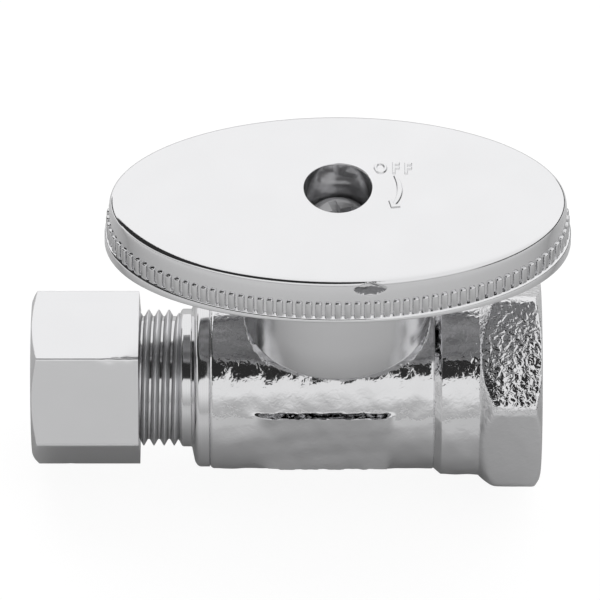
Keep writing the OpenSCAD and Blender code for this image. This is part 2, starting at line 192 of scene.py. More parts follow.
def wander(u, v, seed, waves=14):
    """A smooth uneven field of about unit size, made of a few waves with a fixed seed."""
    source = np.random.default_rng(seed)
    field = np.zeros_like(u)
    for _ in range(waves):
        fu, fv = source.uniform(-2.6, 2.6, 2)
        field += np.sin(fu * u + fv * v + source.uniform(0, 2 * math.pi))
    return field / waves ** 0.5


def rounded_path(corners, closed=True, steps=4, longest=None):
    """Turns corners (x, r, rounding) into a dense path; longest(x, r) limits its steps."""
    count = len(corners)
    path = []
    for i, (x, r, rounding) in enumerate(corners):
        here = Vector((x, r))
        if not closed and i in (0, count - 1):
            path.append(here)
            continue
        before = Vector(corners[i - 1][:2]) - here
        after = Vector(corners[(i + 1) % count][:2]) - here
        reach = min(rounding, before.length * 0.48, after.length * 0.48)
        start, end = here + before.normalized() * reach, here + after.normalized() * reach
        for k in range(steps + 1):
            t = k / steps
            path.append(start * (1 - t) ** 2 + here * 2 * t * (1 - t) + end * t * t)
    dense = []
    for i, point in enumerate(path):
        following = path[(i + 1) % len(path)]
        dense.append(point)
        if not closed and i == len(path) - 1:
            break
        gap = (following - point).length
        if gap < 1e-6:
            dense.pop()
            continue
        if longest:
            limit = longest((point.x + following.x) / 2, (point.y + following.y) / 2)
            pieces = max(1, math.ceil(gap / limit))
            dense += [point.lerp(following, k / pieces) for k in range(1, pieces)]
    return np.array([(p.x, p.y) for p in dense])


@contextmanager
def edited(mesh):
    """A mesh opened for editing and written back afterwards."""
    work = bmesh.new()
    work.from_mesh(mesh)
    yield work
    work.to_mesh(mesh)
    work.free()


def face_out(mesh, weld=0.0):
    """Turns every face of a closed mesh outwards, after welding points closer than weld."""
    with edited(mesh) as work:
        if weld:
            bmesh.ops.remove_doubles(work, verts=work.verts, dist=weld)
        bmesh.ops.recalc_face_normals(work, faces=work.faces)


def grid_mesh(name, rings, close_loop=True):
    """A closed mesh from rings of points in millimetres: last joined to first, or both capped."""
    rings = np.asarray(rings, dtype=float)
    count, around = rings.shape[:2]
    index = np.arange(count * around).reshape(count, around)
    upper = index if close_loop else index[:-1]
    lower = np.roll(index, -1, axis=0) if close_loop else index[1:]
    quads = np.stack([upper, np.roll(upper, -1, axis=1), np.roll(lower, -1, axis=1), lower],
                     axis=-1)
    faces = quads.reshape(-1, 4).tolist()
    if not close_loop:
        faces += [index[0].tolist(), index[-1].tolist()]
    mesh = bpy.data.meshes.new(name)
    mesh.from_pydata((rings.reshape(-1, 3) * MM).tolist(), [], faces)
    face_out(mesh)
    return mesh


def lathe_z(name, profile, around=96):
    """A capped mesh turned about the stem axis from (r, z) points in millimetres."""
    angle = np.linspace(0, 2 * math.pi, around, endpoint=False)
    rings = [np.stack([STEM_X + r * np.cos(angle), r * np.sin(angle), np.full(around, z)], axis=-1)
             for r, z in profile]
    return grid_mesh(name, rings, close_loop=False)


def sector_mesh(name, inner, outer, low, high, middle, half, steps=8):
    """A closed block that is part of a ring about the stem axis, in millimetres and degrees."""
    angles = np.radians(np.linspace(middle - half, middle + half, steps + 1))
    rings = [[(STEM_X + r * math.cos(a), r * math.sin(a), z)
              for r, z in ((inner, low), (outer, low), (outer, high), (inner, high))]
             for a in angles]
    return grid_mesh(name, rings, close_loop=False)


def make_object(name, data):
    """Links an object to the scene at the origin."""
    piece = bpy.data.objects.new(name, data)
    bpy.context.scene.collection.objects.link(piece)
    return piece


def bake(piece):
    """Applies the modifiers of a piece and leaves a plain mesh."""
    graph = bpy.context.evaluated_depsgraph_get()
    mesh = bpy.data.meshes.new_from_object(piece.evaluated_get(graph))
    piece.modifiers.clear()
    old = piece.data
    piece.data = mesh
    bpy.data.meshes.remove(old)
    mesh.name = piece.name
    if not len(mesh.polygons):
        raise RuntimeError(piece.name + " came out empty")


def combine(piece, mesh, operation):
    """Joins or cuts a piece with a second closed mesh."""
    tool = make_object("tool", mesh)
    step = piece.modifiers.new(operation.lower(), "BOOLEAN")
    step.object = tool
    step.operation = operation
    step.solver = "EXACT"
    bake(piece)
    bpy.data.objects.remove(tool)


def dress(piece, material, body, slot, *nodes, sharp=38):
    """Gives a finished piece its shading, finish, body and the nodes it stands for."""
    mesh = piece.data
    mesh.materials.clear()
    mesh.materials.append(material)
    mesh.polygons.foreach_set("material_index", [0] * len(mesh.polygons))
    mesh.shade_smooth()
    mesh.set_sharp_from_angle(angle=math.radians(sharp))
    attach(piece, body)
    if nodes:
        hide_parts(*nodes)


def hex_radius(angle, half_flats, corner):
    """Distance from the waterway to a hex bar with rounded corners, flats facing up and down."""
    turn = math.radians(60)
    off = np.abs((angle - math.pi / 2 + turn / 2) % turn - turn / 2)
    side = turn / 2 - off
    middle = (half_flats - corner) / math.cos(turn / 2)
    arc = middle * np.cos(side) + np.sqrt(np.maximum(corner ** 2 - (middle * np.sin(side)) ** 2, 0))
    start = math.atan((half_flats - corner) * math.tan(turn / 2) / half_flats)
    return np.where(off > start, arc, half_flats / np.cos(off))


def round_x(x, radius, angle):
    """A ring of points about the waterway."""
    return np.stack([np.full_like(angle, x), radius * np.cos(angle), radius * np.sin(angle)],
                    axis=-1)


def close_set(count, extra):
    """Evenly spread angles with further ones between them."""
    even = np.linspace(0, 2 * math.pi, count, endpoint=False)
    return np.unique(np.round(np.mod(np.concatenate([even, extra]), 2 * math.pi), 4))


def tree_socket(tree, name, kind, direction="INPUT"):
    """Adds a named socket to a node tree."""
    return tree.interface.new_socket(name=name, in_out=direction, socket_type="NodeSocket" + kind)


def add(tree, kind, inputs=None, **settings):
    """Adds a node; each input gets a value, or a link when a socket is given."""
    made = tree.nodes.new(kind)
    for key, value in settings.items():
        setattr(made, key, value)
    for key, value in (inputs or {}).items():
        if isinstance(value, bpy.types.NodeSocket):
            tree.links.new(value, made.inputs[key])
        else:
            made.inputs[key].default_value = value
    return made


def calculate(tree, operation, *values):
    """The result of a Math node."""
    return add(tree, "ShaderNodeMath", dict(enumerate(values)), operation=operation).outputs[0]


def remap(tree, value, from_min=0.0, from_max=1.0, to_min=0.0, to_max=1.0, smooth=False):
    """The result of a Map Range node."""
    return add(tree, "ShaderNodeMapRange",
               {"Value": value, "From Min": from_min, "From Max": from_max,
                "To Min": to_min, "To Max": to_max},
               interpolation_type="SMOOTHSTEP" if smooth else "LINEAR").outputs[0]


def masked(tree, factor, low, high):
    """Mixes two values by a mask."""
    return add(tree, "ShaderNodeMix", {"Factor": factor, "A": low, "B": high},
               data_type="FLOAT").outputs["Result"]


def tinted(tree, tint, shade):
    """A tint that a mask darkens."""
    return add(tree, "ShaderNodeMix", {"Factor": 1.0, "A": (*tint, 1.0), "B": shade},
               data_type="RGBA", blend_type="MULTIPLY").outputs["Result"]


def noise(tree, vector, scale, detail, **values):
    """A noise texture in space."""
    return add(tree, "ShaderNodeTexNoise",
               {"Vector": vector, "Scale": scale, "Detail": detail, **values},
               noise_dimensions="3D").outputs["Fac"]


def axes(tree, vector):
    """The parts of a vector, by the names X, Y and Z."""
    return add(tree, "ShaderNodeSeparateXYZ", {0: vector}).outputs


def vector_of(tree, **parts):
    """A vector from some of its parts."""
    return add(tree, "ShaderNodeCombineXYZ", parts).outputs[0]


def geometry_tree(name, sockets):
    """A Geometry Nodes tree with named inputs; returns it with them."""
    tree = bpy.data.node_groups.new(name, "GeometryNodeTree")
    for label, kind in {"Geometry": "Geometry", **sockets, "Material": "Material"}.items():
        tree_socket(tree, label, kind)
    tree_socket(tree, "Geometry", "Geometry", "OUTPUT")
    return tree, add(tree, "NodeGroupInput").outputs


def put_out(tree, geometry, material):
    """Realizes, paints and puts out the geometry of a tree."""
    real = add(tree, "GeometryNodeRealizeInstances", {0: geometry})
    paint = add(tree, "GeometryNodeSetMaterial",
                {"Geometry": real.outputs[0], "Material": material})
    add(tree, "NodeGroupOutput", {0: paint.outputs[0]})
    return tree


def moved(tree, geometry, **values):
    """The result of a Transform Geometry node."""
    return add(tree, "GeometryNodeTransform", {"Geometry": geometry, **values}).outputs[0]


def thread_tree():
    """Geometry Nodes tree: a thread ridge that winds along the waterway."""
    tree, given = geometry_tree("thread_ridge", {
        "Turns": "Float", "Pitch": "Float", "Root Radius": "Float", "Ridge Height": "Float",
        "Root Width": "Float", "Crest Width": "Float", "Start": "Vector", "Turned": "Float",
        "Runout": "Float", "Ridge Turn": "Float"})
    spiral = add(tree, "GeometryNodeCurveSpiral", {
        "Resolution": 72, "Rotations": given["Turns"],
        "Start Radius": given["Root Radius"], "End Radius": given["Root Radius"],
        "Height": calculate(tree, "MULTIPLY", given["Turns"], given["Pitch"])})
    upright = add(tree, "GeometryNodeSetCurveNormal", {"Curve": spiral.outputs[0]}, mode="Z_UP")
    along = add(tree, "GeometryNodeSplineParameter").outputs["Factor"]
    begin, finish = (remap(tree, way, 0.0, given["Runout"], smooth=True)
                     for way in (along, calculate(tree, "SUBTRACT", 1.0, along)))
    swell = calculate(tree, "MULTIPLY", begin, finish)
    taper = add(tree, "GeometryNodeSetCurveRadius",
                {"Curve": upright.outputs["Curve"], "Radius": swell})
    outline = add(tree, "GeometryNodeCurvePrimitiveQuadrilateral", {
        "Offset": 0.0, "Height": given["Ridge Height"], "Bottom Width": given["Root Width"],
        "Top Width": given["Crest Width"]}, mode="TRAPEZOID")
    half = calculate(tree, "MULTIPLY", given["Ridge Height"], 0.5)
    profile = moved(tree, outline.outputs[0], Translation=vector_of(tree, Y=half))
    profile = moved(tree, profile, Rotation=vector_of(tree, Z=given["Ridge Turn"]))
    sweep = add(tree, "GeometryNodeCurveToMesh", {
        "Curve": taper.outputs[0], "Profile Curve": profile, "Fill Caps": True})
    if "Scale" in sweep.inputs:
        tree.links.new(swell, sweep.inputs["Scale"])
    ridge = moved(tree, sweep.outputs[0], Rotation=vector_of(tree, Z=given["Turned"]))
    ridge = moved(tree, ridge, Translation=given["Start"], Rotation=(0.0, math.pi / 2, 0.0))
    return put_out(tree, ridge, given["Material"])


def reed_tree():
    """Geometry Nodes tree: copies of one reed at equal distances round the oval rim."""
    tree, given = geometry_tree("reed_ring", {
        "Reed Count": "Int", "Half Sizes": "Vector", "Centre": "Vector"})
    circle = add(tree, "GeometryNodeCurvePrimitiveCircle", {"Resolution": 720, "Radius": 1.0},
                 mode="RADIUS")
    position = add(tree, "GeometryNodeInputPosition").outputs[0]
    stretch = add(tree, "ShaderNodeVectorMath",
                  {0: position, 1: given["Half Sizes"], 2: given["Centre"]},
                  operation="MULTIPLY_ADD")
    oval = add(tree, "GeometryNodeSetPosition",
               {"Geometry": circle.outputs[0], "Position": stretch.outputs[0]})
    spaced = add(tree, "GeometryNodeResampleCurve",
                 {"Curve": oval.outputs[0], "Count": given["Reed Count"]}, mode="COUNT")
    points = add(tree, "GeometryNodeCurveToPoints", {"Curve": spaced.outputs[0]},
                 mode="EVALUATED").outputs
    face = add(tree, "FunctionNodeAlignRotationToVector", {"Vector": points["Tangent"]},
               axis="X", pivot_axis="Z")
    copies = add(tree, "GeometryNodeInstanceOnPoints", {
        "Points": points["Points"], "Instance": given["Geometry"], "Rotation": face.outputs[0]})
    return put_out(tree, copies.outputs[0], given["Material"])


def grow(name, tree, mesh, values):
    """Runs a Geometry Nodes tree on a mesh and returns the finished piece."""
    piece = make_object(name, mesh)
    modifier = piece.modifiers.new(tree.name, "NODES")
    modifier.node_group = tree
    for item in tree.interface.items_tree:
        if item.in_out == "INPUT" and item.name in values:
            modifier[item.identifier] = values[item.name]
    bake(piece)
    face_out(piece.data, weld=1e-8)
    return piece


def shader_group(name, **inputs):
    """A shader node group with a number for each input, or a vector where None is given."""
    group = bpy.data.node_groups.new(name, "ShaderNodeTree")
    for label, default in inputs.items():
        socket = tree_socket(group, label, "Vector" if default is None else "Float")
        if default is not None:
            socket.default_value = default
    return group, add(group, "NodeGroupInput").outputs


def give(group, **values):
    """Puts values out of a group under their names."""
    for label in values:
        tree_socket(group, label, "Float", "OUTPUT")
    add(group, "NodeGroupOutput", values)
    return group


def forged_skin():
    """Group: orange-peel skin of a plated forging."""
    tree, given = shader_group("forged_skin", Vector=None, Grain=1900.0)
    peel = noise(tree, given["Vector"], given["Grain"], 2.0, Roughness=0.5, Distortion=0.5)
    broad = noise(tree, given["Vector"], 300.0, 3.0)
    patches = remap(tree, broad, 0.35, 0.65, 0.6)
    return give(tree, Height=calculate(tree, "MULTIPLY", peel, patches),
                Roughness=remap(tree, peel, to_min=0.05, to_max=0.1),
                Shade=remap(tree, broad, 0.3, 0.75, 0.95))


def turned_lines():
    """Group: fine tool marks round an axis, from the position along it."""
    tree, given = shader_group("turned_lines", Along=0.0, Lines=9000.0)
    marks = add(tree, "ShaderNodeTexNoise", noise_dimensions="1D", inputs={
        "W": calculate(tree, "MULTIPLY", given["Along"], given["Lines"]),
        "Scale": 1.0, "Detail": 3.0}).outputs["Fac"]
    return give(tree, Height=marks, Shade=remap(tree, marks, to_min=0.9))


def handling_wear():
    """Group: faint haze, rub marks and specks that use leaves on a smooth finish."""
    tree, given = shader_group("handling_wear", Vector=None, Low=0.05, High=0.12)
    haze = noise(tree, given["Vector"], 170.0, 4.0)
    return give(tree, Roughness=remap(tree, haze, 0.3, 0.7, given["Low"], given["High"]),
                Shade=remap(tree, haze, 0.3, 0.7, 0.975),
                Height=noise(tree, given["Vector"], 2600.0, 2.0))


def group_node(tree, build, **values):
    """Places a group, built once and shared, and returns its outputs."""
    group = bpy.data.node_groups.get(build.__name__) or build()
    return add(tree, "ShaderNodeGroup", values, node_tree=group).outputs


def new_material(name):
    """An empty material with its tree and object coordinates."""
    material = bpy.data.materials.new(name)
    material.use_nodes = True
    tree = material.node_tree
    tree.nodes.clear()
    return material, tree, add(tree, "ShaderNodeTexCoord").outputs["Object"]


def cover(tree, tint, shade, rough, height, depth, strength=1.0, metallic=1.0):
    """The surface of a material: a darkened tint, a roughness and a bump."""
    bump = add(tree, "ShaderNodeBump", {"Height": height, "Distance": depth, "Strength": strength})
    surface = add(tree, "ShaderNodeBsdfPrincipled", {
        "Base Color": tinted(tree, tint, shade), "Metallic": metallic, "Roughness": rough,
        "Normal": bump.outputs[0]})
    add(tree, "ShaderNodeOutputMaterial", {"Surface": surface.outputs[0]})


def forged_chrome(name, tint):
    """Chrome over the forging: rough skin on barrel and hex, tool marks on the outlet end."""
    material, tree, place = new_material(name)
    parts = axes(tree, place)
    forged = remap(tree, parts["X"], -0.0346, -0.0342)
    skin = group_node(tree, forged_skin, Vector=place, Grain=1600.0)
    lines = group_node(tree, turned_lines, Along=parts["X"])
    wear = group_node(tree, handling_wear, Vector=place, Low=0.06, High=0.12)
    # The skin is coarse on the hex, and most of all on its upper facets.
    hex_skin = remap(tree, parts["Z"], 0.0045, 0.0062, 1.7, 4.8, smooth=True)
    coarse = remap(tree, parts["X"], -0.009, -0.004, 1.0, hex_skin, smooth=True)
    height = masked(tree, forged, calculate(tree, "MULTIPLY", lines["Height"], 0.06),
                    calculate(tree, "MULTIPLY", skin["Height"], coarse))
    cover(tree, tint, masked(tree, forged, lines["Shade"], skin["Shade"]),
          masked(tree, forged, wear["Roughness"], skin["Roughness"]), height, 0.000045)
    return material


def worn_solid(name, tint, low, high, depth, strength=0.5, metallic=1.0):
    """Chrome, plastic or rubber with faint wear."""
    material, tree, place = new_material(name)
    wear = group_node(tree, handling_wear, Vector=place, Low=low, High=high)
    cover(tree, tint, wear["Shade"], wear["Roughness"], wear["Height"], depth, strength, metallic)
    return material


def thread_chrome(name, tint):
    """Chrome on the outlet thread, darker towards the root with painted shade."""
    material, tree, place = new_material(name)
    wear = group_node(tree, handling_wear, Vector=place, Low=0.3, High=0.36)
    parts = axes(tree, place)
    across = vector_of(tree, Y=parts["Y"], Z=parts["Z"])
    radius = add(tree, "ShaderNodeVectorMath", {0: across}, operation="LENGTH").outputs["Value"]
    # Painted shade: the tint darkens towards the root of the thread, where the groove lies in
    # shadow.
    root = remap(tree, radius, 0.0065, 0.0068, 0.55, smooth=True)
    cover(tree, tint, root, wear["Roughness"], wear["Height"], 0.000006, 0.5)
    return material


def thin_plate(name, tint, metallic, rough, depth):
    """Dull plate of patchy tone inside the handle, in the tint that the table gives; the darker
    tint under the crown is painted shade.
    """
    material, tree, place = new_material(name)
    skin = group_node(tree, forged_skin, Vector=place, Grain=1100.0)
    tone = remap(tree, noise(tree, place, 420.0, 4.0), 0.35, 0.65, 0.55)
    cover(tree, tint, tone, rough, skin["Height"], depth, metallic=metallic)
    return material


def machined_metal(name, tint, axis, low, high, metallic=1.0):
    """Bare machined metal with tool marks along one axis."""
    material, tree, place = new_material(name)
    lines = group_node(tree, turned_lines, Along=axes(tree, place)[axis])
    wear = group_node(tree, handling_wear, Vector=place, Low=low, High=high)
    shade = calculate(tree, "MULTIPLY", lines["Shade"], wear["Shade"])
    cover(tree, tint, shade, wear["Roughness"], lines["Height"], 0.00003, 0.4, metallic)
    return material


def finish_for(name):
    """The material of one finish, made once."""
    ready = bpy.data.materials.get(name)
    if ready:
        return ready
    colours = bpy.context.scene.valve_finish
    # Worn solids: tint, lowest and highest roughness, depth of the specks.
    table = {
        "forged_chrome": (forged_chrome, colours.body),
        "thread_chrome": (thread_chrome, colours.body),
        "cast_chrome": (worn_solid, colours.handle, 0.05, 0.1, 0.000006),
        "mark_chrome": (worn_solid, colours.handle, 0.26, 0.32, 0.000006),
        "skirt_chrome": (worn_solid, colours.handle, 0.2, 0.24, 0.000006),
        # Reeds: the handle chrome darkened as painted shade, so that the reeds look darker than the
        # band.
        "reed_chrome": (worn_solid, [0.84 * c for c in colours.handle], 0.08, 0.14, 0.000006),
        "nut_chrome": (worn_solid, colours.nut, 0.1, 0.15, 0.000006),
        "ball_chrome": (worn_solid, colours.ball, 0.02, 0.06, 0.000002),
        "bare_zinc": (worn_solid, (0.27, 0.27, 0.28), 0.4, 0.4, 0.0003),
        "seat_plastic": (worn_solid, colours.seat, 0.42, 0.6, 0.00004, 0.3, 0.0),
        "seal_rubber": (worn_solid, colours.rubber, 0.6, 0.8, 0.00004, 0.3, 0.0),
        # Under the crown: a darker tint as painted shade, where the hollow of the handle lies in
        # shadow.
        "thin_plate": (thin_plate, (0.72, 0.72, 0.73), 0.45, 0.42, 0.00005),
        "well_plate": (thin_plate, (0.86, 0.86, 0.87), 0.88, 0.1, 0.000008),
        "turned_brass": (machined_metal, colours.brass, "X", 0.18, 0.3),
        "stem_brass": (machined_metal, colours.brass, "Z", 0.18, 0.3),
        "zinc_steel": (machined_metal, colours.steel, "Z", 0.16, 0.26, 0.55),
    }
    make, *values = table[name]
    return make(name, *values)


class VALVE_OT_forged_body(bpy.types.Operator):
    """Build the forged body with its hex, pads, neck and bores"""
    bl_idname = "valve.forged_body"
    bl_label = "Forged Body"

    def execute(self, context):
        sizes = context.scene.valve_forging
        barrel, collar = sizes.barrel_radius / MM, sizes.collar_radius / MM
        core = sizes.core_radius / MM
        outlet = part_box("valve_body")[0].x / MM
        # Radii of the outside and of the bores, and the x where each bore ends inside.
        shank, shoulder, hex_tip = 7.2, 9.3, 11.8
        inlet, retainer, cavity, waterway, tube = 8.55, 7.35, 6.6, 3.5, 4.8225
        inlet_x, retainer_x, cavity_x, tube_x = -10.0, -13.9, -28.5, -37.7
        # Outside from the outlet to the inlet, then the bores back: x, radius, rounding.
        path = rounded_path([
            (outlet, 5.9, 0.08), (outlet, 6.2, 0.1), (outlet + 0.3, core, 0.1),
            (-37.75, core, 0.2), (-37.35, shank, 0.2), (-36.35, shank, 0.12),
            (-36.0, 8.85, 0.25), (-35.62, shoulder, 0.25), (-34.5, shoulder, 0.03),
            (-34.42, 9.14, 0.03), (-34.36, shoulder, 0.05), (-34.12, barrel, 0.15),
            (-11.26, barrel, 0.02), (-11.2, barrel - 0.1, 0.03), (-11.1, barrel, 0.03),
            (-10.4, collar, 0.06), (-6.5, collar, 0.12), (-4.85, hex_tip, 0.7),
            (-0.75, hex_tip, 0.35), (-0.12, 10.6, 0.1), (0.0, 10.1, 0.05), (0.0, 9.2, 0.12),
            (-0.65, inlet, 0.1), (inlet_x, inlet, 0.08), (inlet_x, retainer, 0.08),
            (retainer_x, retainer, 0.05), (retainer_x, cavity, 0.05), (cavity_x, cavity, 0.08),
            (cavity_x, waterway, 0.08), (tube_x, waterway, 0.08), (tube_x, tube, 0.08),
            (-43.7, tube, 0.08)],
            longest=self.longest)
        angle = self.angles(sizes.pad_height / MM / 2, barrel)
        rings = [self.ring(x, r, angle, sizes) for x, r in path]
        body = make_object("forged_body", grid_mesh("forged_body", rings))
        # The neck and the room for the stem and its packing.
        neck_radius, neck_foot, neck_top = 6.7, 6.0, 17.57
        neck = rounded_path([(0.0, neck_foot, 0), (neck_radius, neck_foot, 0),
                             (neck_radius, neck_top, 0.25), (0.0, neck_top, 0)], closed=False)
        combine(body, self.plug("neck", neck), "UNION")
        combine(body, sector_mesh("ear", *STOP_EAR), "UNION")
        flange, stem, packing = 4.8, 3.25, 5.0
        flange_z, packing_z, past_top = 9.02, 10.57, 18.5
        chamber = [(0, 0.0), (flange, 0.0), (flange, flange_z), (stem, flange_z),
                   (stem, packing_z), (packing, packing_z), (packing, past_top), (0, past_top)]
        combine(body, self.plug("chamber", chamber), "DIFFERENCE")
        dress(body, finish_for("forged_chrome"), "body", "chrome_body", "valve_body")
        return {"FINISHED"}

    @staticmethod
    def longest(x, r):
        """Longest step along the path: none on turned faces, short on the skin."""
        if x < SKIN_START or r < SKIN_RADIUS:
            return 9.0
        return 0.08 if x > -0.9 else 0.3

    @staticmethod
    def plug(name, profile):
        """A closed turned plug from (r, z) points that start and end on the axis."""
        return lathe_z(name, [(max(r, NEAR_AXIS), z) for r, z in profile])

    @staticmethod
    def angles(pad_half, barrel):
        """Angles round the waterway, closer together at the edges of the pads."""
        edge = math.asin(pad_half / barrel)
        return close_set(210, [middle + side * (edge + off)
                               for middle in (0, math.pi) for side in (-1, 1)
                               for off in np.radians(np.linspace(-4.5, 2.5, 17))])

    @staticmethod
    def ring(x, r, angle, sizes):
        """One ring of the skin: hex, collar, barrel with pads, or a plain turned ring."""
        radius = np.full_like(angle, r)
        if r < SKIN_RADIUS or x < SKIN_START:
            return round_x(x, radius, angle)
        collar, barrel = sizes.collar_radius / MM, sizes.barrel_radius / MM
        flats = hex_radius(angle + math.pi / 6, collar + 0.2, sizes.hex_corner / MM)
        radius += (soft_min(flats, radius, 0.4) - radius) * ease(-7.3, -6.2, x)
        upright = np.abs(np.sin(angle))
        if x < -11.0:
            off = np.arcsin(np.clip(upright, 0, 1))
            half = sizes.pad_height / MM / 2
            half += 0.05 * math.sin(2.3 * x) + 0.04 * math.sin(5.1 * x + 1)
            pad = np.minimum((barrel + 0.02) / np.maximum(np.cos(off), 1e-3),
                             half / np.maximum(np.sin(off), 1e-3))
            middle, reach = STEM_X - 1.6, sizes.pad_width / MM / 2
            there = ease(middle - reach - 0.1, middle - reach + 2.4, x)
            there *= 1 - ease(middle + reach - 0.9, middle + reach + 0.15, x)
            radius += there * (soft_max(radius, pad, 0.16) - radius)
        loose = ease(-34.0, -33.0, x) * (1 - 0.7 * ease(-7.0, -5.0, x))
        loose = loose * (1 - ease(-1.2, -0.4, x)) * (1 - 0.85 * ease(0.7, 0.9, upright))
        radius += loose * sizes.unevenness / MM * wander(np.full_like(angle, x), angle * 9.5, 7)
        return round_x(x, radius, angle)


class VALVE_OT_threads(bpy.types.Operator):
    """Wind the outlet, inlet and nut threads"""
    bl_idname = "valve.threads"
    bl_label = "Threads"

    def execute(self, context):
        sizes, nut = context.scene.valve_forging, context.scene.valve_nut
        outlet, nut_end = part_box("valve_body")[0].x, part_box("compression_nut")[1].x
        outward, sunk = math.pi / 2, 0.0001
        tree = thread_tree()
        columns = ("Turns", "Pitch", "Root Radius", "Ridge Height", "Root Width", "Crest Width",
                   "Start", "Turned", "Runout", "Ridge Turn")
        rows = {
            ("outlet_thread", "thread_chrome", "body", "chrome_body"): (
                7.0, sizes.pitch, sizes.core_radius - sunk,
                sizes.crest_radius - sizes.core_radius + sunk, 0.00098, 0.0001,
                (outlet + 0.00035, 0.0, 0.0), 0.9, 0.06, outward),
            ("inlet_thread", "forged_chrome", "body", "chrome_body"): (
                6.0, sizes.inlet_pitch, 0.00862, 0.00092, 0.00125, 0.00012,
                (-0.0094, 0.0, 0.0), 0.0, 0.05, -outward),
            ("nut_thread", "nut_chrome", "nut", "chrome_nut"): (
                5.5, sizes.pitch, nut.bore_radius + 0.00005, 0.0006, 0.0008, 0.0001,
                (nut_end - 0.0065, 0.0, 0.0), 0.0, 0.06, -outward),
        }
        for (name, finish, body, slot), values in rows.items():
            chrome = finish_for(finish)
            thread = grow(name, tree, bpy.data.meshes.new(name),
                          {**dict(zip(columns, values)), "Material": chrome})
            dress(thread, chrome, body, slot, sharp=25)
        return {"FINISHED"}


class VALVE_OT_compression_nut(bpy.types.Operator):
    """Build the compression nut"""
    bl_idname = "valve.compression_nut"
    bl_label = "Compression Nut"

    def execute(self, context):
        sizes = context.scene.valve_nut
        low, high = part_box("compression_nut")
        start, end = low.x / MM, high.x / MM
        half, bore = sizes.flats / MM / 2, sizes.bore_radius / MM
        tip = half / math.cos(math.radians(30))
        # Room for the sleeve, the hole for the tube and the end of the threaded bore.
        room, hole, bore_end = 5.85, 4.91, start + 4.07
        path = rounded_path([
            (start, half - 0.25, 0.1), (start + 0.7, tip + 0.15, 0.15),
            (end - 0.08, tip + 0.15, 0.1), (end, tip - 0.02, 0.05), (end, bore + 0.5, 0.1),
            (end - 0.5, bore, 0.08), (bore_end, bore, 0.08), (bore_end, room, 0.08),
            (start + 2.47, room, 0.1), (start + 1.35, hole, 0.08), (start + 0.25, hole, 0.1),
            (start, 5.2, 0.1)],
            longest=lambda x, r: 9.0 if r < half - 0.3 else 0.06 if x < start + 0.9 else 0.35)
        # Angles closer together at the corners.
        angle = close_set(168, [math.radians(60 * k + off)
                                for k in range(6) for off in np.linspace(-3, 3, 13)])
        rings = []
        for x, r in path:
            radius = np.full_like(angle, r)
            if r > half - 0.4:
                radius = soft_min(radius, hex_radius(angle, half, sizes.corner / MM), 0.08)
                radius -= self.knocks(x - start, angle)
            rings.append(round_x(x, radius, angle + math.radians(1.2)))
        nut = make_object("compression_nut_shell", grid_mesh("compression_nut_shell", rings))
        dress(nut, finish_for("nut_chrome"), "nut", "chrome_nut", "compression_nut", sharp=30)
        return {"FINISHED"}

    @staticmethod
    def knocks(x, angle):
        """Depth of the small knocks that a spanner left along the corners."""
        depth = np.zeros_like(angle)
        for along, at, size in NUT_KNOCKS:
            away = np.abs((np.degrees(angle) - at + 180) % 360 - 180)
            depth += size * np.exp(-((x - along) / 0.28) ** 2 - (away / 1.6) ** 2)
        return depth


